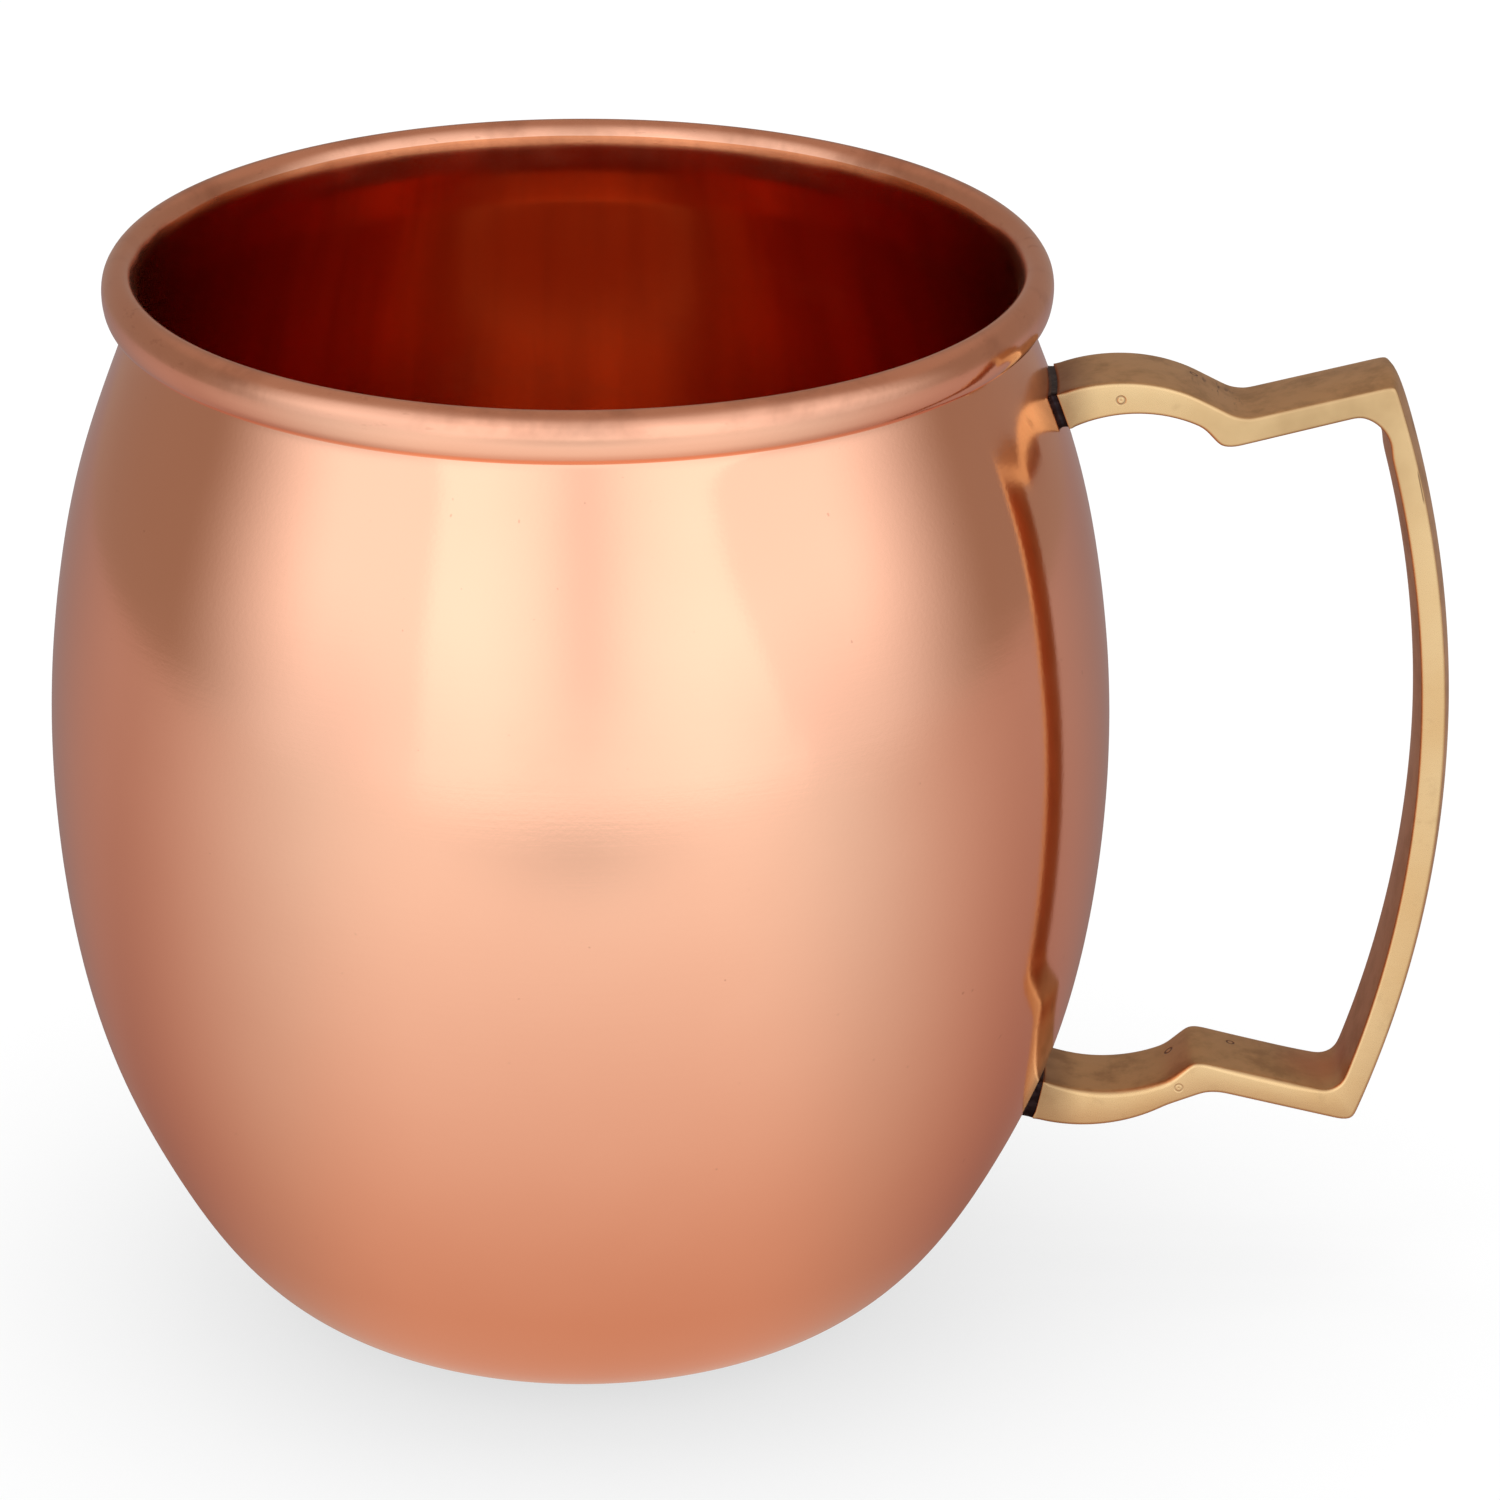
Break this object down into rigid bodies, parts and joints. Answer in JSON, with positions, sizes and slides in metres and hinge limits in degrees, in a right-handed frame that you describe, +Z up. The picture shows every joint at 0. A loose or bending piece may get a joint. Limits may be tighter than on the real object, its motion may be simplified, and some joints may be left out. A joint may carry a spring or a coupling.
{
  "type": "copper mug",
  "caption": "Barrel-shaped copper mug with a rolled rim and a cast brass handle brazed to its side.",
  "frame": {"origin": "centre of the flat base, on the plane that the mug stands on", "axes": "+Z up along the mug's axis to the rim; +X towards the handle; +Y to the left of a person who looks along +X"},
  "size_m": [0.1221, 0.0926, 0.0961],
  "materials": {
    "copper": "satin polished copper, finely brushed round the barrel, darker and redder inside",
    "brass": "linished cast brass, a little tarnished on the top and inner faces",
    "braze": "dark oxidised brazing filler"
  },
  "bodies": {
    "root": {"body": "copper", "handle": "brass", "upper_braze": "braze", "lower_braze": "braze"}
  },
  "joints": []
}
